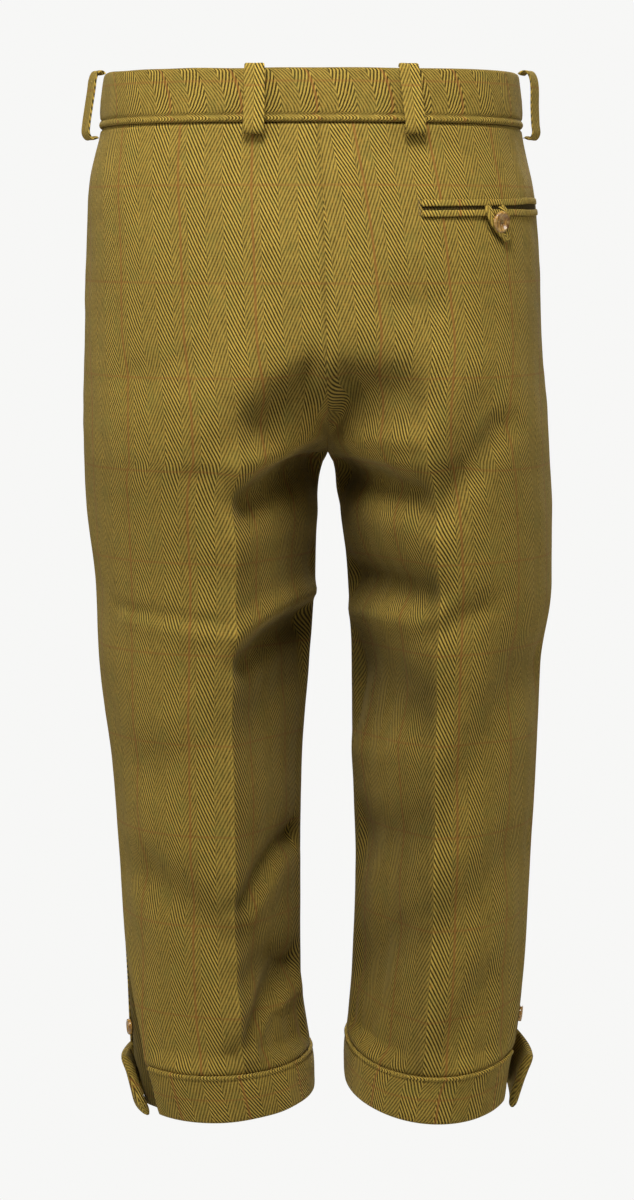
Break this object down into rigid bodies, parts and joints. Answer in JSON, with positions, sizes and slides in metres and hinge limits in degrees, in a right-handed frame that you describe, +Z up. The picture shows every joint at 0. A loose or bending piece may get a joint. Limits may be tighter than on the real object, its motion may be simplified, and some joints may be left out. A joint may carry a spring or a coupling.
{
  "type": "knee breeches",
  "caption": "Herringbone tweed knee breeches with a looped waistband, a jetted back pocket, pressed creases, side vents and tabbed knee bands, hollow as worn.",
  "frame": {"origin": "middle of the waist opening, at the height of the waistband's top edge at the sides", "axes": "+Z up through the waist opening, +Y the way the wearer faces, +X towards the wearer's right"},
  "size_m": [0.3635, 0.2557, 0.8099],
  "materials": {
    "panel_tweed": "olive and mustard wool herringbone with a thin rust overcheck, matt, slightly hairy",
    "band_tweed": "the same tweed, doubled and topstitched",
    "trim_tweed": "the same tweed, folded into narrow strips",
    "inner_tweed": "the same tweed, where it lies in shade behind an opening",
    "horn": "polished brown horn"
  },
  "bodies": {
    "root": {"waistband": "band_tweed", "belt_loop_back_left": "trim_tweed", "belt_loop_back_right": "trim_tweed", "belt_loop_side_left": "trim_tweed", "belt_loop_side_right": "trim_tweed", "belt_loop_front_left": "trim_tweed", "belt_loop_front_right": "trim_tweed", "back_left": "panel_tweed", "back_right": "panel_tweed", "front_left": "panel_tweed", "front_right": "panel_tweed", "fly_shield": "inner_tweed", "pocket_jet_upper": "trim_tweed", "pocket_jet_lower": "trim_tweed", "pocket_tab": "trim_tweed", "knee_band_left": "band_tweed", "knee_band_right": "band_tweed", "band_tab_left": "band_tweed", "band_tab_right": "band_tweed", "vent_underlap_left": "inner_tweed", "vent_underlap_right": "inner_tweed", "waist_button": "horn", "pocket_button": "horn", "vent_button_left": "horn", "vent_button_right": "horn"}
  },
  "joints": []
}
